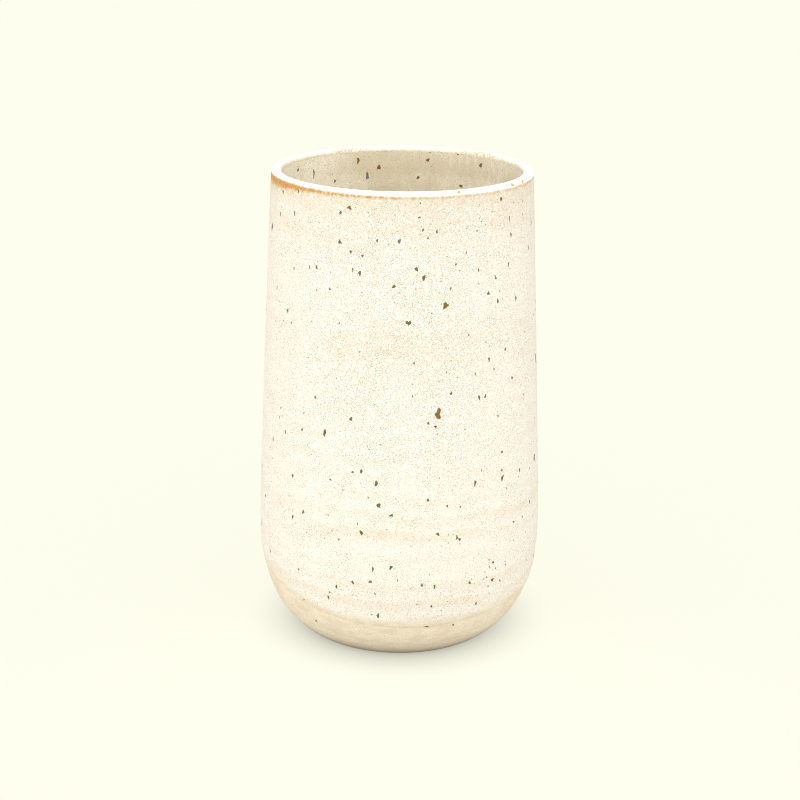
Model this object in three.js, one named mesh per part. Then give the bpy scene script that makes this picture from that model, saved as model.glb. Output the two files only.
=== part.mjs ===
// A wheel-thrown stoneware vase, in three coaxial pieces: the fired clay body with its trimmed foot,
// the liner glaze that was poured inside it, and the glaze that was dipped over its outside and lip.
// Millimetres, +Z up. The origin is the centre of the circle that the foot stands on.
import * as THREE from "three";

// Driving dimensions of the finished vase.
const HEIGHT = 175; // from the foot to the top of the glazed lip
const SHOULDER_HEIGHT = 68; // above this the wall is almost straight, and below it turns in to the foot
const WALL_BULGE = 0.1; // how far the wall bows out between the shoulder and the lip
const TURN_IN_POWER = 4.5; // a higher power keeps the wall straight for longer, then turns it in faster
const ROUNDNESS = 1.2; // 1 leaves a corner at the foot's edge, and 2 makes it a full quarter round
const LIP_SQUARENESS = 3.2; // 2 makes the lip's section round, and more makes it flatter on top

// The clay's outside and inside, each by its radius at the lip, the shoulder and its own lowest level.
const OUTSIDE = { rim: 46.55, shoulder: 51.6, base: 35.5, level: 0 };
const INSIDE = { rim: 43.7, shoulder: 47.3, base: 32, level: 8 };

// The trimmed foot.
const FOOT_BEVEL = 0.6;
const FOOT_RING_WIDTH = 6;
const RECESS_DEPTH = 2;
const RECESS_SLOPE = 1.5; // how far the recess's side leans inwards over its depth

// The glaze coats.
const GLAZE_THICKNESS = 0.45;
const FUSED_GAP = 0.05; // between a coat and what it covers
const GLAZE_LINE = 19; // the height where the outer coat was wiped off, above the bare foot
const GLAZE_EDGE = 0.5; // the height over which the outer coat thins out at that line
const LIP_OVERLAP = 3.2; // how far the outer coat comes down inside the lip, to where the liner starts

// How finely the forms are stepped.
const SIDES = 56;
const FOOT_STEPS = 6;
const BELLY_STEPS = 8;
const WALL_STEPS = 4;
const LIP_STEPS = 8;
const FLOOR_CURVE_STEPS = 9;

// The straight part of a wall, carried on below the shoulder as if the pot had no foot.
function wallRadius(form, height) {
  const rise = (height - SHOULDER_HEIGHT) / (HEIGHT - SHOULDER_HEIGHT);
  const bow = 4 * WALL_BULGE * rise * (1 - rise);
  return THREE.MathUtils.lerp(form.shoulder, form.rim, rise) + bow;
}

// The radius of the clay's outside or inside at a height: its wall, less what it turns in by.
function radiusAt(form, height) {
  const drop = Math.max(0, (SHOULDER_HEIGHT - height) / (SHOULDER_HEIGHT - form.level));
  const turnIn = 1 - (1 - drop ** TURN_IN_POWER) ** (1 / ROUNDNESS);
  return wallRadius(form, height) - (wallRadius(form, form.level) - form.base) * turnIn;
}

function pointAt(form, height) {
  return new THREE.Vector2(radiusAt(form, height), height);
}

// Points of one form from one height to another. An ease over 1 packs them closer to the start.
function climb(form, from, to, steps, ease = 1) {
  return Array.from({ length: steps + 1 }, (_, i) =>
    pointAt(form, from + (to - from) * (i / steps) ** ease),
  );
}

// Every point moved sideways off its path, to the right of the way it runs.
function offset(path, distance) {
  return path.map((point, i) => {
    const before = path[Math.max(i - 1, 0)];
    const after = path[Math.min(i + 1, path.length - 1)];
    const along = after.clone().sub(before).normalize();
    return new THREE.Vector2(point.x + along.y * distance, point.y - along.x * distance);
  });
}

// The clay's lip: the upper half of a softened rectangle, from the outside of the wall over to the inside.
function lipArc(base) {
  const outer = radiusAt(OUTSIDE, base);
  const inner = radiusAt(INSIDE, base);
  const power = 2 / LIP_SQUARENESS;
  return Array.from({ length: LIP_STEPS - 1 }, (_, i) => {
    const angle = (Math.PI * (i + 1)) / LIP_STEPS;
    const across = Math.sign(Math.cos(angle)) * Math.abs(Math.cos(angle)) ** power;
    const up = Math.sin(angle) ** power;
    return new THREE.Vector2(
      (outer + inner) / 2 + ((outer - inner) / 2) * across,
      base + (clayTop - base) * up,
    );
  });
}

function lathe(name, profile, material) {
  const mesh = new THREE.Mesh(new THREE.LatheGeometry(profile, SIDES), material);
  mesh.geometry.rotateX(Math.PI / 2);
  mesh.name = name;
  return mesh;
}

// The clay stops a coat's thickness under the vase's top, and its lip starts half its own thickness lower.
const clayTop = HEIGHT - GLAZE_THICKNESS - FUSED_GAP;
const lipThickness = OUTSIDE.rim - INSIDE.rim;
const lipBase = clayTop - lipThickness / 2;
const overlapEnd = HEIGHT - LIP_OVERLAP;

// The clay's surface, in four stretches that follow one another: the bare foot, the outside and lip
// and first few millimetres of the inside that the outer coat covers, and the rest of the inside.
const bareFoot = [
  new THREE.Vector2(radiusAt(OUTSIDE, 0) - FOOT_BEVEL, 0),
  ...climb(OUTSIDE, FOOT_BEVEL, GLAZE_LINE, FOOT_STEPS, 1.6).slice(0, -1),
];
const coatedOutside = [
  ...climb(OUTSIDE, GLAZE_LINE, SHOULDER_HEIGHT, BELLY_STEPS, 1.3).slice(0, -1),
  ...climb(OUTSIDE, SHOULDER_HEIGHT, lipBase, WALL_STEPS),
];
const coatedLip = [...lipArc(lipBase), ...climb(INSIDE, lipBase, overlapEnd, 1)];
const linedInside = [
  ...climb(INSIDE, overlapEnd - FUSED_GAP, SHOULDER_HEIGHT, WALL_STEPS),
  ...climb(INSIDE, INSIDE.level, SHOULDER_HEIGHT, FLOOR_CURVE_STEPS, 2).reverse().slice(1),
  new THREE.Vector2(0, INSIDE.level),
];
const surface = [...bareFoot, ...coatedOutside, ...coatedLip, ...linedInside];
const coatStart = bareFoot.length;
const coatEnd = coatStart + coatedOutside.length + coatedLip.length;

function clayBody() {
  const ringInner = surface[0].x - FOOT_RING_WIDTH;
  const underside = [
    new THREE.Vector2(0, RECESS_DEPTH),
    new THREE.Vector2(ringInner - RECESS_SLOPE, RECESS_DEPTH),
    new THREE.Vector2(ringInner, 0),
  ];
  return lathe(
    "clay_body",
    [...underside, ...surface],
    new THREE.MeshStandardMaterial({ color: 0xd3c0a0, roughness: 0.85, metalness: 0 }),
  );
}

// A coat over the stretch of the surface from one point to another: its outer face out, its inner face back.
function coatProfile(start, end) {
  const inner = offset(surface, FUSED_GAP).slice(start, end);
  const outer = offset(surface, FUSED_GAP + GLAZE_THICKNESS).slice(start, end);
  return { inner, outer };
}

function outerGlaze() {
  const { inner, outer } = coatProfile(coatStart, coatEnd);
  outer[0] = pointAt(OUTSIDE, GLAZE_LINE + GLAZE_EDGE).add(new THREE.Vector2(GLAZE_THICKNESS, 0));
  return lathe(
    "outer_glaze",
    [...outer, ...inner.reverse(), outer[0].clone()],
    new THREE.MeshStandardMaterial({ color: 0xf7eedd, roughness: 0.4, metalness: 0 }),
  );
}

function linerGlaze() {
  const { inner, outer } = coatProfile(coatEnd, surface.length);
  return lathe(
    "liner_glaze",
    [...inner.reverse(), ...outer],
    new THREE.MeshStandardMaterial({ color: 0xd8cbb0, roughness: 0.35, metalness: 0 }),
  );
}

const vase = new THREE.Group();
vase.add(clayBody(), outerGlaze(), linerGlaze());

export default vase;
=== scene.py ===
"""A wheel-thrown stoneware vase: a bare trimmed foot, a speckled cream glaze over the outside and lip, and a
greyer liner glaze inside. Metres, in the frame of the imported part: +Z up, the foot's centre at the origin,
and the side that faces the camera towards -Y."""

import math
import random

import bpy
import numpy as np
from mathutils import Matrix, Vector, noise


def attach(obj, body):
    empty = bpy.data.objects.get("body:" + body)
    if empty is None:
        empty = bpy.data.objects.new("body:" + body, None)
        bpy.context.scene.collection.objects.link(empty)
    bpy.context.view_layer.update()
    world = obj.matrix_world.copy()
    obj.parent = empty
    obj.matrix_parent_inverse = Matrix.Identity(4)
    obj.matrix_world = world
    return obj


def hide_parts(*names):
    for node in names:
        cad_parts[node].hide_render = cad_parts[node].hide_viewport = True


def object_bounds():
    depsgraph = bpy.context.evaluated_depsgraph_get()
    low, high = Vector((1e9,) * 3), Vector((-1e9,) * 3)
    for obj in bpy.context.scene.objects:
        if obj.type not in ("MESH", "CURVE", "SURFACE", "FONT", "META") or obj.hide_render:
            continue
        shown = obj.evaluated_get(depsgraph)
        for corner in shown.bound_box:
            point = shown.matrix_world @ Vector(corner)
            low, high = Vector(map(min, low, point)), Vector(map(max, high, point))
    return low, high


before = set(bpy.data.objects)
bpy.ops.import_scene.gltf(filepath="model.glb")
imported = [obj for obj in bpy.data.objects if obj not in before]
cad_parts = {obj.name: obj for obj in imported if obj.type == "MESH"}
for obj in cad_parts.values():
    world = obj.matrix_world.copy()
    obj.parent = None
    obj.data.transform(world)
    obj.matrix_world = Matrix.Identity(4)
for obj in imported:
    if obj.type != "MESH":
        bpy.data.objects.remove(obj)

CAD_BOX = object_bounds()
MM = 0.001

# ---------------------------------------------------------------------------------------------------- form

HEIGHT = CAD_BOX[1].z
SHOULDER_HEIGHT = 68 * MM
WALL_BULGE = 0.1 * MM
TURN_IN_POWER = 4.5
ROUNDNESS = 1.2
OUTSIDE = {"rim": 46.55 * MM, "shoulder": 51.6 * MM, "base": 35.5 * MM, "level": 0.0}
INSIDE = {"rim": 43.7 * MM, "shoulder": 47.3 * MM, "base": 32 * MM, "level": 8 * MM}
FOOT_BEVEL = 0.6 * MM
FOOT_RING_WIDTH = 6 * MM
RECESS_DEPTH = 2 * MM
RECESS_SLOPE = 1.5 * MM
GLAZE = 0.45 * MM
FUSED_GAP = 0.05 * MM
GLAZE_LINE = 19 * MM
LIP_OVERLAP = 3.2 * MM
LIP_SQUARENESS = 3.2  # 2 makes the lip's section round, and more makes it flatter on top
SIDES = 384


def wall_radius(form, height):
    rise = (height - SHOULDER_HEIGHT) / (HEIGHT - SHOULDER_HEIGHT)
    return form["shoulder"] + (form["rim"] - form["shoulder"]) * rise + 4 * WALL_BULGE * rise * (1 - rise)


def radius_at(form, height):
    """The radius of the clay's outside or inside at a height: its wall, less what it turns in by."""
    drop = np.clip((SHOULDER_HEIGHT - height) / (SHOULDER_HEIGHT - form["level"]), 0, 1)
    turn_in = 1 - (1 - drop**TURN_IN_POWER) ** (1 / ROUNDNESS)
    return wall_radius(form, height) - (wall_radius(form, form["level"]) - form["base"]) * turn_in


def climb(form, start, end, steps=400, ease=1.0):
    height = start + (end - start) * np.linspace(0, 1, steps + 1) ** ease
    return np.column_stack([radius_at(form, height), height])


def lip_arc(base, steps=120):
    """The clay's lip, from the outside of the wall over to the inside: a softened rectangle."""
    outer, inner = radius_at(OUTSIDE, base), radius_at(INSIDE, base)
    rise = HEIGHT - GLAZE - FUSED_GAP - base
    angle = np.linspace(0, math.pi, steps + 1)[1:-1]
    power = 2 / LIP_SQUARENESS
    across = np.sign(np.cos(angle)) * np.abs(np.cos(angle)) ** power
    middle, half = (outer + inner) / 2, (outer - inner) / 2
    return np.column_stack([middle + half * across, base + rise * np.sin(angle) ** power])


class Surface:
    """The clay's outline as one path, measured along its length, with the way out of the clay at each point
    of it."""

    def __init__(self, stretches):
        points = np.vstack([points for _, points in stretches])
        keep = np.r_[True, np.linalg.norm(np.diff(points, axis=0), axis=1) > 1e-9]
        self.points = points[keep]
        self.length = np.r_[0, np.cumsum(np.linalg.norm(np.diff(self.points, axis=0), axis=1))]
        along = np.gradient(self.points, self.length, axis=0)
        along /= np.linalg.norm(along, axis=1)[:, None]
        self.normal = np.column_stack([along[:, 1], -along[:, 0]])
        self.starts = {}
        for name, stretch in stretches:
            nearest = np.argmin(np.linalg.norm(self.points - stretch[0], axis=1))
            self.starts[name] = self.length[nearest]
        self.end = self.length[-1]

    def place_of(self, height, inside=False):
        """How far along the path the wall reaches a height, on its outside or its inside."""
        top = int(np.argmax(self.points[:, 1]))
        if inside:
            return np.interp(-height, -self.points[top:, 1], self.length[top:])
        first = np.searchsorted(self.length, self.starts["bare_foot"])
        return np.interp(height, self.points[first:top, 1], self.length[first:top])

    def at(self, place, out):
        """Radius and height at a distance along the path, moved out of the clay by another distance."""
        radius, height = (np.interp(place, self.length, self.points[:, i]) for i in (0, 1))
        side, up = (np.interp(place, self.length, self.normal[:, i]) for i in (0, 1))
        return np.maximum(radius + out * side, 0), height + out * up


def clay_surface():
    lip_base = HEIGHT - GLAZE - FUSED_GAP - (OUTSIDE["rim"] - INSIDE["rim"]) / 2
    foot_edge = float(radius_at(OUTSIDE, 0.0)) - FOOT_BEVEL
    ring_inner = foot_edge - FOOT_RING_WIDTH
    floor = INSIDE["level"]
    return Surface([
        ("recess", np.array([[0, RECESS_DEPTH], [ring_inner - RECESS_SLOPE, RECESS_DEPTH]])),
        ("foot_ring", np.array([[ring_inner, 0], [foot_edge, 0]])),
        ("bare_foot", climb(OUTSIDE, FOOT_BEVEL, GLAZE_LINE, ease=1.6)),
        ("outside", climb(OUTSIDE, GLAZE_LINE, lip_base)),
        ("lip", lip_arc(lip_base)),
        ("mouth", climb(INSIDE, lip_base, HEIGHT - LIP_OVERLAP)),
        ("inside", climb(INSIDE, HEIGHT - LIP_OVERLAP, SHOULDER_HEIGHT)),
        ("floor_curve", climb(INSIDE, floor, SHOULDER_HEIGHT, ease=2)[::-1]),
        ("floor", np.array([[INSIDE["base"], floor], [0, floor]])),
    ])


SURFACE = clay_surface()


def spread(start, end, step):
    """Places along the path from start up to end, about a step apart."""
    return np.linspace(start, end, max(2, round((end - start) / step) + 1))


def smooth(value, low, high):
    """0 below low, 1 above high, and an even S between them."""
    t = np.clip((value - low) / (high - low), 0, 1)
    return t * t * (3 - 2 * t)


def turn_of(points):
    """How far round the pot each point is, in radians from +X."""
    return np.arctan2(points[:, 1], points[:, 0])


def around(turns, turn, reach):
    """1 at one side of the pot, given in degrees, and fading to 0 about that many degrees either way."""
    return np.exp(-((((np.degrees(turns) - turn + 180) % 360 - 180) / reach) ** 2))


def bumps(points, size, seed):
    """Even noise from about -1 to 1 on a list of points, with bumps of about that size."""
    shift = Vector((seed * 7.3, seed * 3.1, seed * 5.7))
    return np.array([noise.noise(Vector(p) / size + shift) for p in points])


# ------------------------------------------------------------------------------------- what a hand leaves

FRONT = -90  # degrees round from +X
RIM_TILT = 0.12 * MM
RIM_HIGH_SIDE = math.radians(75)
OUT_OF_ROUND = 0.12 * MM
RING_PITCH = 8 * MM
RING_DEPTH = 0.06 * MM

# Where the outer coat lies thin and shows tan: height, spread, amount, and how far round it reaches from its
# middle at the front, in degrees. A negative amount paints white: the band at 42 mm is a painted highlight
# along a throwing ridge.
THIN_BANDS = [
    (171 * MM, 4 * MM, 0.25, 300),
    (164 * MM, 11 * MM, 0.28, 300),
    (121 * MM, 9 * MM, 0.33, 50),
    (55 * MM, 5 * MM, 0.25, 70),
    # a painted highlight along a throwing ridge
    (42 * MM, 1.2 * MM, -0.25, 90),
    (29 * MM, 5 * MM, 0.2, 300),
]


def hand_made(points):
    """Moves points as the pot is off true: the rim dips on one side, and is a little out of round."""
    turn = turn_of(points)
    up = np.clip(points[:, 2] / HEIGHT, 0, 1)
    radius = np.maximum(np.hypot(points[:, 0], points[:, 1]), 1e-9)
    points[:, 2] -= RIM_TILT * (1 - np.cos(turn - RIM_HIGH_SIDE)) * up**8
    stretch = 1 - OUT_OF_ROUND * up**3 * (1 - np.cos(2 * turn)) / radius
    points[:, :2] *= np.where(radius > MM, stretch, 1)[:, None]
    return points


def throwing_rings(points):
    """The spiral that the potter's fingers leave, from -1 in a groove to 1 on a ridge, stronger low down."""
    wander = bumps(points * [1, 1, 2], 45 * MM, 3)
    phase = points[:, 2] / RING_PITCH + turn_of(points) / (2 * math.pi) + 0.9 * wander
    strength = 0.35 + 0.65 * (1 - smooth(points[:, 2], 60 * MM, 110 * MM))
    return np.sin(2 * math.pi * phase) * strength


def shaped(turn, place, out, relief=None):
    """Points on the pot, at turns round it, places along the clay's path and distances out of the clay."""

    def points(out):
        radius, height = SURFACE.at(place, out)
        return np.column_stack([radius * np.cos(turn), radius * np.sin(turn), height])

    if relief is not None:
        out = out + relief(points(out), place)
    return hand_made(points(out))


# ------------------------------------------------------------------------------------------------- pieces


def new_piece(name, points, faces, values):
    """A smooth mesh piece, with float attributes that its material reads. A point that no face uses is left
    out."""
    used, index = np.unique([i for face in faces for i in face], return_inverse=True)
    sizes = np.cumsum([0] + [len(face) for face in faces])
    mesh = bpy.data.meshes.new(name)
    mesh.from_pydata(points[used].tolist(), [], [index[a:b].tolist() for a, b in zip(sizes, sizes[1:])])
    mesh.shade_smooth()
    for key, value in values.items():
        mesh.attributes.new(key, "FLOAT", "POINT").data.foreach_set("value", value[used].astype(np.float32))
    piece = bpy.data.objects.new(name, mesh)
    bpy.context.scene.collection.objects.link(piece)
    return piece


def turned(name, places, outs, closed=True, relief=None, values=None):
    """A piece made by turning rows round the axis, each with its place and its distance out of the clay. A
    closed piece's last row joins its first, and a row on the axis becomes one point."""
    rows = len(places)
    turn = np.tile(np.linspace(0, 2 * math.pi, SIDES, endpoint=False), rows)
    place = np.asarray(places, float).reshape(rows, -1) * np.ones(SIDES)
    out = np.asarray(outs, float).reshape(rows, -1) * np.ones(SIDES)
    points = shaped(turn, place.ravel(), out.ravel(), relief)
    ids = np.arange(rows * SIDES)
    on_axis = np.hypot(points[:, 0], points[:, 1]) < 1e-7
    ids[on_axis] -= ids[on_axis] % SIDES
    ids = ids.reshape(rows, SIDES)
    below, above = (ids, np.roll(ids, -1, axis=0)) if closed else (ids[:-1], ids[1:])
    next_below, next_above = (np.roll(row, -1, axis=1) for row in (below, above))
    quads = np.stack([below, next_below, next_above, above], -1).reshape(-1, 4)
    faces = [list(dict.fromkeys(quad)) for quad in quads.tolist()]
    faces = [face for face in faces if len(face) > 2]
    return new_piece(name, points, faces, values(points, place.ravel()) if values else {})


COAT_START = SURFACE.starts["outside"]
COAT_END = SURFACE.starts["inside"]
COAT_TAPER = 3 * MM
OVERLAP_STEP = 0.2 * MM
RELIEF_ROOM = 0.1 * MM  # how far the outer coat's face lies inside the CAD coat's, to leave its ridges room
LINE_RIPPLE = 0.25 * MM
# Where the glaze line strays from its height: degrees round, reach in degrees, and rise.
LINE_STRAYS = [(-165, 33, 7 * MM), (-82, 38, -2.2 * MM), (25, 50, 1.5 * MM), (110, 40, -1 * MM)]
LIP_OUTER_CORNER = SURFACE.starts["lip"] - 0.3 * MM
LIP_INNER_CORNER = SURFACE.starts["mouth"] - 1.1 * MM
# Where a corner of the lip burned through the coat: degrees round, reach in degrees, and how strongly.
OUTER_BURNS = [(-165, 36, 0.69), (-105, 30, 0.15), (-20, 25, 0.1)]
INNER_BURNS = [(118, 12, 0.35), (48, 16, 0.4)]


def quarter_round(distance, size):
    return np.sqrt(1 - (1 - np.clip(distance / size, 0, 1)) ** 2)


def stray(turns):
    """How far up the path the glaze line lies from its own level, round the pot."""
    circle = np.column_stack([np.cos(turns), np.sin(turns), 0 * turns])
    strays = sum(rise * around(turns, at, reach) for at, reach, rise in LINE_STRAYS)
    return LINE_RIPPLE * bumps(circle, 0.2, 22) + strays


def coat_out(turns, place):
    """How far the outer coat's face stands out of the clay. It thins out to nothing at the glaze line, and
    ends in a rounded step that comes down into the liner's face."""
    step = OVERLAP_STEP * smooth(place, COAT_END - 3 * MM, COAT_END - 2 * MM)
    step -= 2 * OVERLAP_STEP * smooth(place, COAT_END - 1.8 * MM, COAT_END)
    face = FUSED_GAP + GLAZE - RELIEF_ROOM + step
    return face * quarter_round(place - COAT_START - stray(turns), COAT_TAPER)


def coat_relief(points, place):
    rings = RING_DEPTH * throwing_rings(points)
    uneven = 0.035 * MM * bumps(points, 9 * MM, 5) + 0.02 * MM * bumps(points, 2.2 * MM, 8)
    near_lip = smooth(place, SURFACE.starts["lip"] - 9 * MM, SURFACE.starts["lip"] - 1 * MM)
    near_line = 1 - smooth(place, COAT_START, COAT_START + 3 * MM)
    return (rings + uneven) * (1 - 0.8 * near_lip) * (1 - 0.9 * near_line)


def burned(turns, burns):
    """How strongly a corner of the lip is burned at each turn round the pot."""
    return sum(strength * around(turns, at, reach) for at, reach, strength in burns)


def coat_values(points, place):
    """What the outer coat's material reads: where it is thin, or painted white as a highlight along one
    ridge, how grainy it is, where the lip's corners break through it, where it fades out at the glaze line,
    where it yellows inside the lip and is painted lighter there as if under more light, where it runs into
    the liner, and where the lip's top is painted white, partly as pooled glaze and partly as a painted
    highlight."""
    turns, height = turn_of(points), points[:, 2]
    thin = 0.08 + 0.14 * throwing_rings(points)
    thin += 0.1 * bumps(points, 14 * MM, 2) + 0.08 * bumps(points, 4 * MM, 6)
    for middle, rise, amount, reach in THIN_BANDS:
        thin += amount * around(turns, FRONT, reach) * np.exp(-(((height - middle) / rise) ** 2))
    corner = LIP_OUTER_CORNER + 0.5 * MM * around(turns, -155, 50)
    below = corner - place
    reach = 0.75 * MM + 1.9 * MM * around(turns, -167, 35)
    outer = np.exp(-((below / np.where(below > 0, reach, 0.5 * MM)) ** 2))
    outer *= 0.41 + burned(turns, OUTER_BURNS)
    inner = np.exp(-(((place - LIP_INNER_CORNER) / (0.7 * MM)) ** 2))
    inner *= burned(turns, INNER_BURNS)
    fade = 1 - smooth(place - COAT_START - stray(turns), 0, 5.5 * MM)
    # The yellow glaze inside the lip, also painted lighter, as painted light.
    honey = 0.8 * smooth(place, LIP_INNER_CORNER - 0.3 * MM, LIP_INNER_CORNER + 0.5 * MM)
    lining = smooth(place, COAT_END - 0.9 * MM, COAT_END + 0.2 * MM)
    broken = np.clip(np.maximum(outer, inner), 0, 1)
    # The lip's top painted white: partly pooled glaze, partly a painted highlight.
    pooled = smooth(place, corner + 0.2 * MM, corner + 1 * MM)
    pooled *= 1 - smooth(place, LIP_INNER_CORNER - 0.4 * MM, LIP_INNER_CORNER + 0.2 * MM)
    grainy = 0.3 + 0.5 * smooth(height, 60 * MM, 100 * MM) - 0.2 * smooth(height, 140 * MM, 168 * MM)
    return {
        "thin": np.clip(thin, 0, 1),
        "grainy": grainy * (0.4 + 0.6 * around(turns, FRONT, 52)),
        "broken": broken,
        "fade": fade,
        "honey": honey,
        "lining": lining,
        "pooled": pooled,
    }


def outer_glaze():
    lip, mouth = SURFACE.starts["lip"], SURFACE.starts["mouth"]
    shown = np.r_[
        spread(COAT_START, COAT_START + 2.4 * MM, 0.2 * MM),
        spread(COAT_START + 3 * MM, lip - 1 * MM, 0.82 * MM),
        spread(lip - 0.7 * MM, mouth + 0.5 * MM, 0.22 * MM),
        spread(mouth + 0.8 * MM, COAT_END - 0.6 * MM, 0.5 * MM),
        spread(COAT_END - 0.5 * MM, COAT_END, 0.1 * MM),
    ]
    hidden = np.linspace(COAT_END, COAT_START, 42)[1:-1]
    base = np.r_[shown, hidden][:, None]
    turns = np.linspace(0, 2 * math.pi, SIDES, endpoint=False)
    places = base + stray(turns) * (1 - smooth(base, COAT_START, COAT_START + 25 * MM))
    outs = [coat_out(turns, place) for place in places[:len(shown)]]
    outs += [np.full(SIDES, FUSED_GAP)] * len(hidden)
    bare = np.repeat(np.arange(len(base)) < len(shown), SIDES)
    return turned(
        "outer_glaze_coat",
        places,
        np.array(outs),
        relief=lambda points, place: bare * coat_relief(points, place),
        values=coat_values,
    )


LINER_START = COAT_END - 2.2 * MM  # its edge lies hidden under the outer coat


def liner_out(turns, place):
    return FUSED_GAP + GLAZE * quarter_round(place - LINER_START, 0.4 * MM)


def liner_relief(points, place):
    flat_floor = smooth(place, SURFACE.end - 12 * MM, SURFACE.end)
    return (0.08 * MM * throwing_rings(points) + 0.03 * MM * bumps(points, 6 * MM, 11)) * (1 - flat_floor)


def liner_values(points, place):
    turns = turn_of(points)
    shade = 0.45 + 0.2 * throwing_rings(points) + 0.25 * bumps(points * [1, 1, 0.6], 12 * MM, 4)
    shade += 0.35 * np.exp(-(((points[:, 2] - 168 * MM) / (4 * MM)) ** 2))
    # Painted light and shade: lighter on the inside's left and right walls, as light from the sides would
    # fall, and darker on the far wall.
    shade += 0.4 * around(turns, 100, 28) - 0.7 * around(turns, 157, 38) - 0.35 * around(turns, 5, 40)
    return {"thin": np.clip(shade, 0, 1)}


def liner_glaze():
    floor = SURFACE.starts["floor"]
    shown = np.r_[
        spread(LINER_START, LINER_START + 0.5 * MM, 0.12 * MM),
        spread(LINER_START + 1 * MM, LINER_START + 50 * MM, 0.9 * MM),
        spread(LINER_START + 51 * MM, floor, 1.5 * MM),
        spread(floor + 1 * MM, SURFACE.end, 1.6 * MM),
    ]
    hidden = np.linspace(SURFACE.end, LINER_START, 50)[:-1]
    bare = np.repeat(np.r_[np.ones(len(shown)), np.zeros(len(hidden))], SIDES)
    return turned(
        "liner_glaze_coat",
        np.r_[shown, hidden],
        np.r_[liner_out(0, shown), np.full(len(hidden), FUSED_GAP)],
        relief=lambda points, place: bare * liner_relief(points, place),
        values=liner_values,
    )


def clay_relief(points, place):
    """Fine grooves that the trimming tool turned into the bare clay, and one slip of the tool near the
    foot."""
    turning = np.sin(2 * math.pi * (place / (1.3 * MM) + 0.6 * bumps(points, 20 * MM, 14)))
    chatter = bumps(points * [1, 1, 3], 3 * MM, 15)
    under = 1 - smooth(place, SURFACE.starts["foot_ring"] - 1 * MM, SURFACE.starts["foot_ring"])
    side = smooth(place, SURFACE.starts["bare_foot"] + 0.5 * MM, SURFACE.starts["bare_foot"] + 3 * MM)
    side *= 1 - smooth(place, COAT_START - 2 * MM, COAT_START + 1 * MM)
    turns = turn_of(points)
    slip_height = 9 * MM - 0.06 * MM * (np.degrees(turns) + 112)
    slip = np.exp(-(((points[:, 2] - slip_height) / (0.35 * MM)) ** 2)) * around(turns, -112, 8) * side
    grooves = 0.012 * MM * (1 + turning) * (under + side) + 0.015 * MM * (1 + chatter) * side
    return -grooves - 0.15 * MM * slip


def clay_values(points, place):
    """Painted shade on the bare clay: darker close to what the foot stands on."""
    return {"toasted": np.exp(-((points[:, 2] / (4.5 * MM)) ** 2))}


def clay_body():
    foot, bare = SURFACE.starts["foot_ring"], SURFACE.starts["bare_foot"]
    places = np.r_[
        spread(0, foot - 2 * MM, 0.6 * MM),
        spread(foot - 1.6 * MM, foot + 0.6 * MM, 0.25 * MM),
        spread(foot + 1 * MM, bare - 0.8 * MM, 0.6 * MM),
        spread(bare - 0.6 * MM, COAT_START + 2 * MM, 0.3 * MM),
        spread(COAT_START + 3 * MM, SURFACE.starts["lip"], 3 * MM),
        spread(SURFACE.starts["lip"] + 0.2 * MM, SURFACE.starts["mouth"], 0.3 * MM),
        spread(SURFACE.starts["mouth"] + 1 * MM, SURFACE.end, 3 * MM),
    ]
    return turned(
        "clay_pot",
        places,
        np.zeros(len(places)),
        closed=False,
        relief=clay_relief,
        values=clay_values,
    )


# ------------------------------------------------------------------------------------------------- specks

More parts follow.
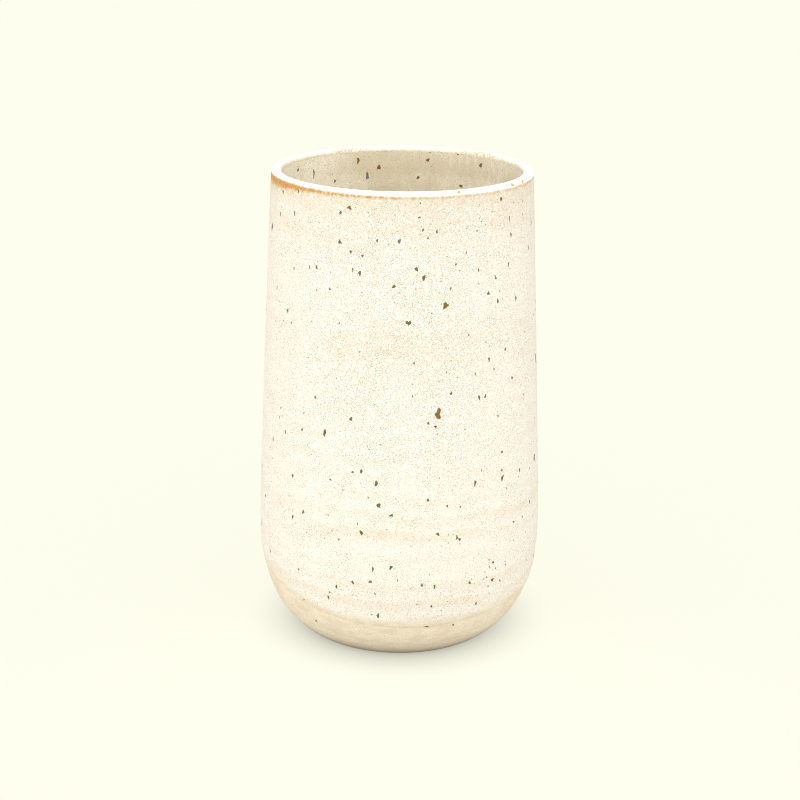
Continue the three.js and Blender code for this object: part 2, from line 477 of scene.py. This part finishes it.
# The iron specks that catch the eye: degrees round from +X, height, width and length in mm, and how orange.
OUTSIDE_SPECKS = [
    (-75, 98, 2.3, 3.8, 1.0), (-76, 93.5, 1.2, 0.9, 0.8), (-72, 136, 1.9, 2.6, 0.8),
    (-121, 89, 1.4, 2.5, 0.7), (-84, 149, 1.3, 1.5, 0.6), (-81, 146, 1.3, 1.8, 0.6),
    (-87, 130.5, 1.6, 2.0, 0.5), (-112, 169, 1.4, 1.6, 1.0), (-116, 167, 0.9, 1.6, 0.5),
    (-141, 164, 0.9, 1.7, 0.5), (-151, 170, 1.0, 1.5, 0.6), (-116, 157, 1.2, 1.6, 0.4),
    (-91, 158.5, 1.1, 1.6, 0.0), (-106, 153, 0.9, 1.0, 0.1), (-111, 154, 1.0, 1.1, 0.6),
    (-127, 147, 1.0, 1.4, 0.3), (-107, 147, 1.1, 1.7, 0.6), (-110, 148, 0.7, 1.2, 0.2),
    (-93, 143, 1.1, 1.4, 0.5), (-144, 129, 1.2, 1.6, 1.0), (-126, 101, 0.9, 1.2, 0.0),
    (-57, 102, 1.0, 1.7, 0.4), (-54, 102, 0.8, 1.5, 0.7), (-47, 135, 1.0, 2.0, 0.8),
    (-52, 115, 0.7, 2.0, 0.5), (-99, 73, 1.4, 2.0, 0.3), (-98, 65, 1.3, 2.2, 0.3),
    (-105, 77, 0.9, 1.8, 0.3), (-59, 71, 1.0, 2.2, 0.4), (-45, 70, 1.2, 2.8, 0.7),
    (-79, 67, 1.1, 1.0, 0.3), (-93, 61.5, 1.2, 1.2, 0.4), (-137, 54, 1.0, 1.6, 0.3),
    (-75, 54, 1.4, 1.2, 0.4), (-66, 51, 1.0, 1.3, 0.2), (-93, 42, 1.3, 1.4, 0.4),
    (-100, 41, 0.8, 1.8, 0.4), (-108, 35, 1.1, 1.3, 0.3), (-101, 36, 1.2, 1.3, 0.0),
    (-115, 32, 1.0, 1.4, 0.3), (-81, 35, 1.2, 1.1, 0.1), (-76, 34, 0.9, 1.5, 0.4),
    (-50, 39, 0.9, 1.3, 0.4), (-57, 24, 0.9, 1.3, 0.3), (-155, 35, 0.8, 2.4, 0.4),
    (-36, 174.0, 1.5, 1.1, 1.4), (-27, 174.0, 1.3, 1.2, 1.3), (-66, 174.2, 1.5, 0.8, 1.3),
    (-39, 163, 0.7, 1.8, 0.5), (-38, 157, 0.8, 1.9, 0.6), (-35, 134, 0.8, 2.2, 0.8),
    (-52, 138.5, 1.0, 1.7, 0.4), (-17, 158, 1.0, 2.4, 0.0), (-22, 150, 0.7, 1.8, 0.4),
    (-40, 147, 0.7, 1.5, 0.3), (-57, 147, 0.5, 1.5, 0.9), (-100, 158.5, 0.8, 1.0, 0.6),
    (-83, 166.5, 0.8, 1.0, 0.1), (-153, 162, 0.8, 1.6, 0.7), (-139, 172, 0.9, 1.2, 0.9),
]
FOOT_SPECKS = [(-78, 17, 1.4, 1.1, 0.4), (-66, 16, 0.8, 1.0, 0.4), (-129, 13.5, 1.0, 0.9, 0.2)]
INSIDE_SPECKS = [
    (124, 171.5, 1.3, 2.0, 0.7), (113, 170, 1.4, 2.2, 0.8), (102, 167, 1.8, 1.8, 0.7),
    (76, 172, 1.7, 2.6, 0.9), (77, 170, 1.6, 1.4, 0.8), (61, 172.5, 1.3, 1.8, 0.9),
    (55, 172, 1.0, 2.0, 0.8), (47, 170, 1.8, 1.6, 0.6), (59, 161, 1.8, 1.2, 0.3),
    (82, 163, 1.4, 1.2, 0.4), (153, 170, 1.0, 1.8, 0.5), (140, 167, 0.7, 4.5, 0.1),
]
OVERLAP_LEVEL = 171  # mm: the inside specks above it lie in the outer coat, and the rest in the liner
SPECK_SIDES = 18
# One speck's rings of points, out from its middle: share of its size, how much iron shows, how proud it is.
SPECK_RINGS = [
    (0.0, 1.0, 0.035 * MM),
    (0.4, 1.0, 0.03 * MM),
    (0.7, 0.75, 0.015 * MM),
    (1.0, 0.0, -0.03 * MM),
]
SPECK_SPREAD = 0.6  # half of a speck's size, and a little more for its rim that sinks out of sight


def scattered(dice, count, low, high, small, large, skip_front=False):
    """Specks scattered at random over a band of heights. Small ones are common and large ones rare."""
    specks = []
    for _ in range(count):
        turn, height = dice.uniform(-180, 180), dice.uniform(low, high)
        size = small + (large - small) * dice.random() ** 3
        long = size * dice.uniform(0.9, 1.9)
        warm = dice.choice([0.0, 0.3, 0.4, 0.4, 0.6, 0.9])
        if not (skip_front and abs((turn - FRONT + 180) % 360 - 180) < 70):
            specks.append((turn, height, size, long, warm))
    return specks


def speck_outline(dice):
    """An uneven outline, as a share of the speck's size at each of its sides."""
    angle = np.linspace(0, 2 * math.pi, SPECK_SIDES, endpoint=False)
    outline = np.ones(SPECK_SIDES)
    for waves, depth in ((2, 0.28), (3, 0.28), (5, 0.18)):
        outline += depth * dice.uniform(0.3, 1) * np.cos(waves * angle + dice.uniform(0, 2 * math.pi))
    return angle, outline


COAT = (coat_out, coat_relief, coat_values)
LINER = (liner_out, liner_relief, liner_values)


def iron_specks(name, outside, inside, glaze):
    """Flakes of iron in a glaze's face: their middles stand a little proud, and their rims sink into it."""
    out_of, relief, values_of = glaze
    dice = random.Random(11)
    shares, irons, prouds = (np.array(column) for column in zip(*SPECK_RINGS))
    points, faces, values = [], [], {}
    for form, specks in ((OUTSIDE, outside), (INSIDE, inside)):
        for turn, height, width, long, warm in specks:
            angle, outline = speck_outline(dice)
            share = np.outer(shares, outline)
            radius = float(radius_at(form, height * MM))
            turns = math.radians(turn) + share * np.cos(angle) * SPECK_SPREAD * width * MM / radius
            place = SURFACE.place_of(height * MM, form is INSIDE)
            place = place + share * np.sin(angle) * SPECK_SPREAD * long * MM
            out = out_of(turns.ravel(), place.ravel()) + np.repeat(prouds, SPECK_SIDES)
            flake = shaped(turns.ravel(), place.ravel(), out, relief)
            made = values_of(flake, place.ravel())
            made["iron"] = np.repeat(irons, SPECK_SIDES)
            made["warmth"] = np.full(len(flake), warm)
            for key, value in made.items():
                values.setdefault(key, []).append(value)
            first = len(points) * len(flake)
            points.append(flake)
            ids = first + np.arange(len(flake)).reshape(-1, SPECK_SIDES)
            beside = np.roll(ids, -1, axis=1)
            faces += [[first, *edge] for edge in zip(ids[1].tolist(), beside[1].tolist())]
            quads = np.stack([ids[1:-1], ids[2:], beside[2:], beside[1:-1]], -1)
            faces += quads.reshape(-1, 4).tolist()
    return new_piece(name, np.concatenate(points), faces, {k: np.concatenate(v) for k, v in values.items()})


# ---------------------------------------------------------------------------------------------- materials

DOT_SOFTNESS = 0.35  # the share of a dot's radius over which its edge fades


class Look:
    """A material's node tree, built up by small steps that each give back an output socket."""

    def __init__(self, name):
        self.material = bpy.data.materials.new(name)
        self.material.use_nodes = True
        self.tree = self.material.node_tree
        self.shader = self.tree.nodes["Principled BSDF"]
        self.position = self.add("ShaderNodeTexCoord").outputs["Object"]

    def plug(self, socket, value):
        if isinstance(value, bpy.types.NodeSocket):
            self.tree.links.new(value, socket)
        elif isinstance(value, tuple) and len(socket.default_value) == len(value) + 1:
            socket.default_value = (*value, 1)
        else:
            socket.default_value = value

    def add(self, kind, sockets=None, **settings):
        node = self.tree.nodes.new(kind)
        for name, value in settings.items():
            setattr(node, name, value)
        for name, value in (sockets or {}).items():
            self.plug(node.inputs[name], value)
        return node

    def math(self, operation, first, second=0.0):
        node = self.add("ShaderNodeMath", {0: first, 1: second}, operation=operation)
        return node.outputs[0]

    def ramp(self, value, low, high, start=0.0, end=1.0):
        """Start below low, end above high, and an even S between them."""
        sockets = {"Value": value, "From Min": low, "From Max": high, "To Min": start, "To Max": end}
        return self.add("ShaderNodeMapRange", sockets, interpolation_type="SMOOTHSTEP").outputs[0]

    def mix(self, amount, first, second):
        node = self.add("ShaderNodeMix", data_type="RGBA")
        for name, value in (("Factor_Float", amount), ("A_Color", first), ("B_Color", second)):
            socket = next(i for i in node.inputs if i.identifier == name)
            self.plug(socket, value)
        return next(o for o in node.outputs if o.identifier == "Result_Color")

    def value(self, name):
        return self.add("ShaderNodeAttribute", attribute_name=name).outputs["Fac"]

    def stretched(self, x, y, z):
        sockets = {0: self.position, 1: (x, y, z)}
        return self.add("ShaderNodeVectorMath", sockets, operation="MULTIPLY").outputs[0]

    def noise(self, size, detail=2.0, position=None):
        sockets = {"Vector": position or self.position, "Scale": 1 / size, "Detail": detail}
        return self.add("ShaderNodeTexNoise", sockets).outputs["Fac"]

    def frayed(self, name, size, detail, depth):
        """A number that the mesh carries, frayed by noise so that what it bounds has an uneven edge."""
        fray = self.ramp(self.noise(size, detail), 0.3, 0.7, -depth, depth)
        return self.math("ADD", self.value(name), fray)

    def cells(self, pitch):
        """Cells about a pitch apart: the distance to the middle of each, and two random numbers for it."""
        node = self.add("ShaderNodeTexVoronoi", {"Vector": self.position, "Scale": 1 / pitch})
        split = self.add("ShaderNodeSeparateColor", {"Color": node.outputs["Color"]})
        return node.outputs["Distance"], split.outputs[0], split.outputs[1]

    def grit(self, pitch):
        """A random number for each cell about a pitch apart, most often a low one."""
        _, _, chance = self.cells(pitch)
        return self.math("POWER", chance, 2.0)

    def dots(self, pitch, common, radius):
        """Round dots scattered about a pitch apart. Only a share of them, common, is there, and their sizes
        differ up to the radius, a share of the pitch. Gives their mask and a random number for each."""
        distance, size_chance, chance = self.cells(pitch)
        size = self.ramp(size_chance, 1 - common, 1.0, 0.0, radius)
        inner = self.math("MULTIPLY", size, 1 - DOT_SOFTNESS)
        edge = self.math("MAXIMUM", self.math("SUBTRACT", size, inner), 0.0001)
        inside = self.math("DIVIDE", self.math("SUBTRACT", size, distance), edge)
        return self.add("ShaderNodeClamp", {"Value": inside}).outputs[0], chance

    def bump(self, height, distance):
        node = self.add("ShaderNodeBump", {"Height": height, "Distance": distance, "Strength": 1.0})
        self.plug(self.shader.inputs["Normal"], node.outputs[0])


# The lip's top: partly whiter pooled glaze, partly a painted highlight.
POOLED_WHITE_AND_HIGHLIGHT = (0.98, 0.97, 0.94)
CREAM = (0.95, 0.93, 0.89)
CREAM_DEEP = (0.60, 0.46, 0.31)
# Yellow glaze inside the lip, made lighter than a glaze could be: painted light.
HONEY_AND_PAINTED_LIGHT = (1.0, 0.93, 0.70)
THIN_TAN = (0.76, 0.66, 0.52)
GRAIN = (0.38, 0.27, 0.14)
HALO_TAN = (0.67, 0.57, 0.40)
RUST = (0.62, 0.27, 0.04)
DARK_RUST = (0.36, 0.15, 0.04)
OLIVE = (0.15, 0.12, 0.035)
BLUE_GREY = (0.16, 0.165, 0.165)
OCHRE = (0.23, 0.11, 0.008)
AMBER = (0.80, 0.40, 0.10)
# Painted shade on the foot, close to where it stands.
FOOT_SHADE = (0.54, 0.44, 0.32)
CLAY = (0.85, 0.745, 0.595)
CLAY_DARK = (0.69, 0.57, 0.43)
LINER_CREAM = (0.92, 0.86, 0.71)
LINER_THIN = (0.71, 0.63, 0.46)
LINER_DEEP = (0.62, 0.53, 0.37)
BLOT = (0.10, 0.06, 0.02)


EVEN_GRIT = 0.31  # the share of the deeper cream where the coat has no grain to be seen


def iron_colour(look, warmth):
    """Blue-grey, then olive, then ochre, as the iron burned through the glaze, with darker blots in it."""
    cool = look.mix(look.ramp(warmth, 0.05, 0.3), BLUE_GREY, OLIVE)
    colour = look.mix(look.ramp(warmth, 0.35, 0.9), cool, OCHRE)
    colour = look.mix(look.ramp(look.noise(0.5 * MM, 1.0), 0.45, 0.65, 0.0, 0.5), colour, BLOT)
    return look.mix(look.ramp(warmth, 1.0, 1.4), colour, AMBER)


def speckle(look, colour, fine_share):
    """Adds a glaze's own iron to its colour: grain as fine as sand, and scattered pinheads. Gives the colour
    and where the pinheads are."""
    sand, _ = look.dots(0.3 * MM, 0.6, 0.6)
    grit, _ = look.dots(0.65 * MM, 0.35, 0.36)
    grain = look.math("MAXIMUM", look.math("MULTIPLY", sand, 0.9), grit)
    patches = look.ramp(look.noise(9 * MM, 2.0), 0.35, 0.65, 0.6, 1.0)
    grain = look.math("MULTIPLY", look.math("MULTIPLY", grain, patches), fine_share)
    colour = look.mix(grain, colour, GRAIN)
    pins, pin_chance = look.dots(2.2 * MM, 0.4, 0.16)
    colour = look.mix(look.math("MULTIPLY", pins, 0.75), colour, iron_colour(look, pin_chance))
    return colour, pins


def flakes(look, colour):
    """Lays the iron specks' colour over the glaze's, with an uneven edge."""
    iron = look.math("ADD", look.value("iron"), look.ramp(look.noise(0.35 * MM, 1.0), 0.3, 0.7, -0.4, 0.3))
    mask = look.ramp(iron, 0.35, 0.55)
    colour = look.mix(look.ramp(look.value("iron"), 0.02, 0.5, 0.0, 0.6), colour, HALO_TAN)
    return look.mix(mask, colour, iron_colour(look, look.value("warmth")))


def finish_glaze(look, colour, pins, rough):
    look.plug(look.shader.inputs["Base Color"], colour)
    roughness = look.ramp(look.noise(1.5 * MM), 0.3, 0.7, rough - 0.05, rough + 0.07)
    look.plug(look.shader.inputs["Roughness"], roughness)
    look.shader.inputs["Specular IOR Level"].default_value = 0.5
    skin = look.math("MULTIPLY", look.noise(1.1 * MM, 2.0), 0.3)
    look.bump(look.math("SUBTRACT", skin, pins), 0.03 * MM)
    return look.material


def outer_glaze_look():
    look = Look("outer_glaze")
    streaks = look.noise(3 * MM, 2.0, look.stretched(0.35, 0.35, 2.0))
    streaks = look.ramp(streaks, 0.35, 0.7, -0.05, 0.06)
    thin = look.math("ADD", look.frayed("thin", 1.5 * MM, 2.0, 0.1), streaks)
    uneven = look.math("SUBTRACT", look.grit(0.28 * MM), EVEN_GRIT)
    grit = look.math("ADD", look.math("MULTIPLY", uneven, look.value("grainy")), EVEN_GRIT)
    # Tan where the coat is thin, and white in the painted highlight band along one ridge.
    colour = look.mix(grit, look.mix(look.ramp(thin, 0.0, 1.0), CREAM, THIN_TAN), CREAM_DEEP)
    # Yellow glaze inside the lip, painted lighter as if under more light.
    honey = look.frayed("honey", 1.3 * MM, 2.0, 0.25)
    colour = look.mix(look.ramp(honey, 0.1, 1.0), colour, HONEY_AND_PAINTED_LIGHT)
    colour, pins = speckle(look, colour, 0.9)
    # The lip's top painted white, partly pooled glaze and partly a painted highlight.
    colour = look.mix(look.value("pooled"), colour, POOLED_WHITE_AND_HIGHLIGHT)
    broken = look.frayed("broken", 1.1 * MM, 3.0, 0.18)
    colour = look.mix(look.ramp(broken, 0.08, 0.45), colour, HALO_TAN)
    rust = look.mix(look.ramp(look.noise(0.7 * MM, 2.0), 0.5, 0.7, 0.0, 0.8), RUST, DARK_RUST)
    rust = look.mix(look.math("MULTIPLY", grit, 0.3), rust, HALO_TAN)
    colour = look.mix(look.ramp(broken, 0.35, 0.8), colour, rust)
    fade = look.frayed("fade", 1.2 * MM, 3.0, 0.2)
    colour = look.mix(look.ramp(fade, 0.1, 0.9), colour, clay_colour(look))
    lining = look.frayed("lining", 0.9 * MM, 2.0, 0.3)
    colour = look.mix(look.ramp(lining, 0.2, 0.9), colour, look.mix(0.7, LINER_CREAM, LINER_THIN))
    return finish_glaze(look, flakes(look, colour), pins, 0.6)


def liner_look():
    look = Look("liner_glaze")
    streaks = look.noise(2 * MM, 4.0, look.stretched(1.0, 1.0, 0.4))
    # The liner's tone, with painted light and shade round its inside walls.
    shade = look.math("ADD", look.value("thin"), look.ramp(streaks, 0.3, 0.7, -0.15, 0.15))
    colour = look.mix(look.ramp(shade, 0.0, 1.0), LINER_CREAM, LINER_THIN)
    colour = look.mix(look.math("MULTIPLY", look.grit(0.35 * MM), 0.6), colour, LINER_DEEP)
    colour, pins = speckle(look, colour, 0.6)
    return finish_glaze(look, flakes(look, colour), pins, 0.5)


def clay_colour(look):
    turned_lines = look.noise(2.5 * MM, 3.0, look.stretched(0.4, 0.4, 1.0))
    colour = look.mix(look.ramp(turned_lines, 0.3, 0.75, 0.0, 0.7), CLAY, CLAY_DARK)
    colour = look.mix(look.math("MULTIPLY", look.grit(0.5 * MM), 0.6), colour, CLAY_DARK)
    sand, _ = look.dots(0.8 * MM, 0.5, 0.35)
    return look.mix(look.math("MULTIPLY", sand, 0.3), colour, GRAIN)


def bare_clay_look():
    look = Look("bare_clay")
    colour = clay_colour(look)
    # Painted shade: the bare clay darkens close to the floor.
    colour = look.mix(look.value("toasted"), colour, FOOT_SHADE)
    look.plug(look.shader.inputs["Base Color"], colour)
    look.shader.inputs["Roughness"].default_value = 0.85
    look.bump(look.noise(0.35 * MM, 3.0), 0.04 * MM)
    return look.material


# ---------------------------------------------------------------------------------------- the object itself

dice = random.Random(5)
scattered_specks = scattered(dice, 300, 22, 172, 0.45, 1.2)
scattered_specks += scattered(dice, 110, 24, 172, 0.8, 2.4, skip_front=True)
lip_specks = [speck for speck in INSIDE_SPECKS if speck[1] > OVERLAP_LEVEL]
liner_specks = [speck for speck in INSIDE_SPECKS if speck[1] <= OVERLAP_LEVEL]
liner_specks += scattered(dice, 120, 14, 168, 0.5, 1.8)
coat_specks = OUTSIDE_SPECKS + FOOT_SPECKS + scattered_specks

outer_look = outer_glaze_look()
inner_look = liner_look()
# Each piece with its material, its slot, and the CAD node that it replaces, if any.
pieces = [
    (clay_body(), bare_clay_look(), "bare_clay", "clay_body"),
    (outer_glaze(), outer_look, "outer_glaze", "outer_glaze"),
    (liner_glaze(), inner_look, "liner_glaze", "liner_glaze"),
    (iron_specks("outer_iron_specks", coat_specks, lip_specks, COAT), outer_look, "outer_glaze", None),
    (iron_specks("liner_iron_specks", [], liner_specks, LINER), inner_look, "liner_glaze", None),
]
for piece, material, slot, node in pieces:
    piece.data.materials.append(material)
    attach(piece, "root")
    if node:
        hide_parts(node)

# ------------------------------------------------------------------------------------ floor, light, camera

BACKDROP = (0.9911, 0.9911, 0.855)  # the cream that floor and background share, as linear light
SURROUND = 0.98  # how bright the room is to the object and the floor
BEHIND = 0.05  # how bright it is behind the object, which darkens the object's edges
BEHIND_STARTS, BEHIND_FULL = 0.15, 0.65  # how far a direction leans to +Y where the dark starts and is full
FLOOR_ALBEDO = 0.2
FLOOR_SKY = 0.765  # the share of the room's light that reaches the open floor
FLOOR_SIZE = 40.0
CONTACT_REACH = 18 * MM  # how near a thing has to be to darken the floor under it
CONTACT_DARK = 0.58
CONTACT_POWER = 2.2
LENS, SENSOR = 75.84, 36  # mm
CAMERA_SPOT = (-0.0001, -0.600, 0.2834)
CAMERA_DOWN, CAMERA_ROLL = 0.3164, 0.0093  # how far the camera looks down and leans, in radians


def floor():
    """A pale floor that shows the backdrop's cream wherever the object takes no light from it."""
    mesh = bpy.data.meshes.new("floor")
    half = FLOOR_SIZE / 2
    corners = [(-half, -half, 0), (half, -half, 0), (half, half, 0), (-half, half, 0)]
    mesh.from_pydata(corners, [], [(0, 1, 2, 3)])
    piece = bpy.data.objects.new("floor", mesh)
    bpy.context.scene.collection.objects.link(piece)
    look = Look("floor")
    tint = [FLOOR_ALBEDO * channel / BACKDROP[0] for channel in BACKDROP]
    look.shader.inputs["Base Color"].default_value = (*tint, 1)
    look.shader.inputs["Roughness"].default_value = 1.0
    look.shader.inputs["Specular IOR Level"].default_value = 0.0
    look.shader.inputs["Emission Color"].default_value = (*BACKDROP, 1)
    # Painted contact shadow: the floor's glow is darkened by ambient occlusion near the object, milder to
    # the camera and in full as light on the object.
    nearness = look.add("ShaderNodeAmbientOcclusion", {"Distance": CONTACT_REACH}, samples=12).outputs["AO"]
    glow = 1 - FLOOR_SKY * FLOOR_ALBEDO * SURROUND / BACKDROP[0]
    shade = look.math("POWER", look.math("SUBTRACT", 1.0, nearness), CONTACT_POWER)
    seen = look.math("SUBTRACT", 1.0, look.math("MULTIPLY", shade, CONTACT_DARK))
    to_camera = look.add("ShaderNodeLightPath").outputs["Is Camera Ray"]
    lit = look.math("ADD", nearness, look.math("MULTIPLY", to_camera, look.math("SUBTRACT", seen, nearness)))
    look.plug(look.shader.inputs["Emission Strength"], look.math("MULTIPLY", lit, glow))
    mesh.materials.append(look.material)


def surround():
    """A soft neutral room, dark behind the object, that shows the backdrop's cream to the camera."""
    world = bpy.data.worlds.new("surround")
    bpy.context.scene.world = world
    world.use_nodes = True
    tree = world.node_tree
    light = tree.nodes["Background"]
    light.inputs["Color"].default_value = (1, 1, 1, 1)
    direction = tree.nodes.new("ShaderNodeTexCoord")
    parts = tree.nodes.new("ShaderNodeSeparateXYZ")
    strength = tree.nodes.new("ShaderNodeMapRange")
    strength.inputs["From Min"].default_value = BEHIND_STARTS
    strength.inputs["From Max"].default_value = BEHIND_FULL
    strength.inputs["To Min"].default_value = SURROUND
    strength.inputs["To Max"].default_value = BEHIND
    tree.links.new(direction.outputs["Generated"], parts.inputs[0])
    tree.links.new(parts.outputs["Y"], strength.inputs["Value"])
    tree.links.new(strength.outputs[0], light.inputs["Strength"])
    seen = tree.nodes.new("ShaderNodeBackground")
    seen.inputs["Color"].default_value = (*BACKDROP, 1)
    path = tree.nodes.new("ShaderNodeLightPath")
    mix = tree.nodes.new("ShaderNodeMixShader")
    tree.links.new(path.outputs["Is Camera Ray"], mix.inputs[0])
    tree.links.new(light.outputs[0], mix.inputs[1])
    tree.links.new(seen.outputs[0], mix.inputs[2])
    tree.links.new(mix.outputs[0], tree.nodes["World Output"].inputs["Surface"])


def soft_light(name, strength, spread, tilt, turn, onto):
    """A broad light that falls on some pieces alone. It comes from straight above, tilted towards the camera
    and then turned round the object, all in degrees."""
    light = bpy.data.lights.new(name, "SUN")
    light.energy = strength
    light.angle = math.radians(spread)
    lamp = bpy.data.objects.new(name, light)
    lamp.rotation_euler = (math.radians(tilt), 0, math.radians(turn))
    bpy.context.scene.collection.objects.link(lamp)
    lit = bpy.data.collections.new(name + "_lit")
    for piece in onto:
        lit.objects.link(piece)
    lamp.light_linking.receiver_collection = lit


def camera():
    lens = bpy.data.cameras.new("camera")
    lens.lens = LENS
    lens.sensor_width = SENSOR
    place = bpy.data.objects.new("camera", lens)
    level = Matrix.Rotation(math.pi / 2 - CAMERA_DOWN, 4, "X")
    place.matrix_world = Matrix.Translation(CAMERA_SPOT) @ level @ Matrix.Rotation(CAMERA_ROLL, 4, "Z")
    bpy.context.scene.collection.objects.link(place)
    bpy.context.scene.camera = place


floor()
surround()
whole = [piece for piece, *_ in pieces]
liner = [piece for piece, _, slot, _ in pieces if slot == "liner_glaze"]
soft_light("front_light", strength=0.78, spread=60, tilt=45, turn=-12, onto=whole)
soft_light("right_light", strength=0.46, spread=60, tilt=60, turn=75, onto=whole)
soft_light("left_light", strength=0.52, spread=60, tilt=60, turn=-75, onto=whole)
soft_light("top_light", strength=1.3, spread=40, tilt=0, turn=0, onto=whole)
soft_light("inside_light", strength=0.5, spread=60, tilt=50, turn=35, onto=liner)
camera()
bpy.context.scene.view_settings.view_transform = "Standard"
bpy.context.scene.cycles.filter_width = 1.0
bpy.context.scene.cycles.denoising_prefilter = "NONE"  # keeps the glaze's finest grain
